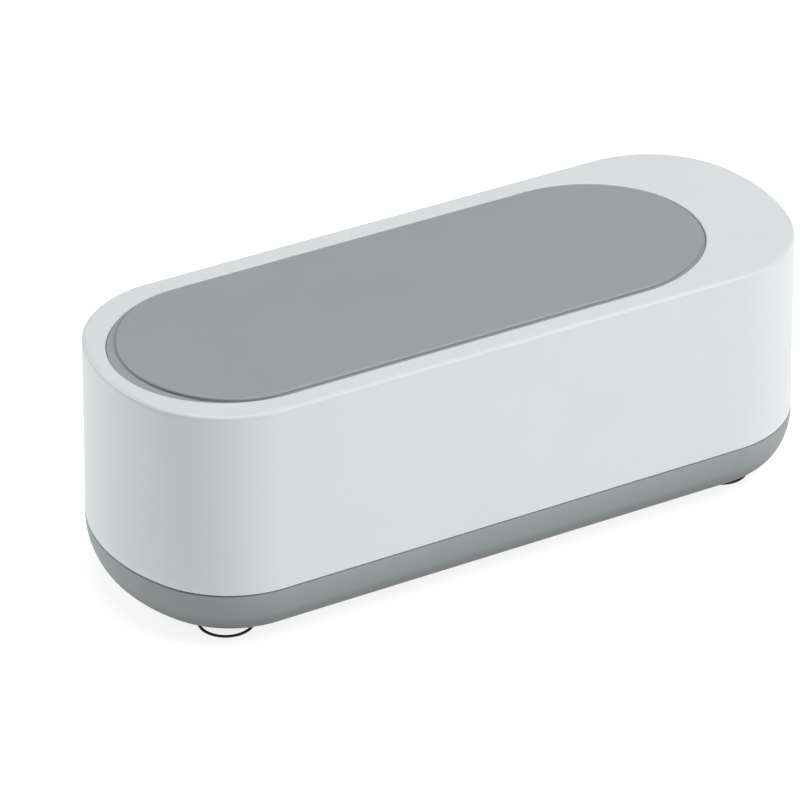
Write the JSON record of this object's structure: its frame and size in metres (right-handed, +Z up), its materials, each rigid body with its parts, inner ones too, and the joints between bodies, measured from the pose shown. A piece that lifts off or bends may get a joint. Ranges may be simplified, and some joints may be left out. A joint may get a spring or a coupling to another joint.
{
  "type": "ultrasonic cleaner",
  "caption": "Oblong table-top ultrasonic bath for jewellery and glasses, with a flush lift-off lid, a steel tank, cup feet and a push switch.",
  "frame": {"origin": "on the table, under the middle of the outer box", "axes": "+X along the casing towards the plain deck, -Y the front, +Z up"},
  "size_m": [0.206, 0.0794, 0.0713],
  "materials": {
    "casing_white": "fine satin mould finish",
    "lid_grey": "satin, smooth top",
    "base_grey": "satin mould finish",
    "silicone_grey": "soft silicone",
    "zinc_steel": "zinc plated",
    "clear_cup": "clear soft plastic",
    "tank_steel": "deep drawn stainless, satin",
    "frame_black": "glass filled nylon",
    "plate_aluminium": "turned",
    "piezo_ceramic": "silvered electrode",
    "lead_red": "silicone insulation",
    "lead_black": "silicone insulation",
    "lead_white": "silicone insulation",
    "connector_nylon": "natural nylon",
    "board_green": "solder mask on glass epoxy",
    "ferrite": "ground ferrite",
    "bobbin_black": "moulded",
    "winding_tape": "polyester tape over copper",
    "capacitor_sleeve": "shrink sleeve, bare top",
    "film_red": "dipped epoxy",
    "chip_epoxy": "epoxy",
    "chip_ceramic": "fired ceramic",
    "button_grey": "satin",
    "led_body": "clear over white",
    "lens_clear": "clear, diffused behind",
    "socket_steel": "nickel plated"
  },
  "bodies": {
    "case": {"housing": "casing_white", "base_tray": "base_grey", "base_seal": "silicone_grey", "base_screws": "zinc_steel", "foot_front_left": "clear_cup", "foot_front_right": "clear_cup", "foot_rear_left": "clear_cup", "foot_rear_right": "clear_cup", "tank": "tank_steel", "tank_gasket": "silicone_grey", "tank_clamp_frame": "frame_black", "tank_clamp_screws": "zinc_steel", "transducer_plate": "plate_aluminium", "piezo_disc": "piezo_ceramic", "piezo_lead_live": "lead_red", "piezo_lead_ground": "lead_black", "piezo_plug": "connector_nylon", "piezo_header": "connector_nylon", "driver_board": "board_green", "driver_board_screws": "zinc_steel", "transformer_core": "ferrite", "transformer_bobbin": "bobbin_black", "transformer_winding": "winding_tape", "power_choke": "ferrite", "filter_capacitors": "capacitor_sleeve", "film_capacitor": "film_red", "drive_transistors": "chip_epoxy", "timer_chip": "chip_epoxy", "board_small_parts": "chip_ceramic", "driver_header": "connector_nylon", "control_plugs": "connector_nylon", "control_lead": "lead_white", "control_header": "connector_nylon", "control_board": "board_green", "control_board_screws": "zinc_steel", "button_switch": "bobbin_black", "indicator_led": "led_body", "indicator_lens": "lens_clear", "usb_shell": "socket_steel", "usb_tongue": "bobbin_black"},
    "lid": {"lid": "lid_grey"},
    "button": {"power_button": "button_grey", "switch_plunger": "bobbin_black"}
  },
  "joints": [
    {"name": "lid_lift", "type": "slide", "parent": "case", "child": "lid", "axis": [0, 0, 1], "range_m": [0, 0.1]},
    {"name": "power_button_press", "type": "slide", "parent": "case", "child": "button", "axis": [-1, 0, 0], "range_m": [0, 0.0006], "stiffness_N_per_m": 2500}
  ]
}
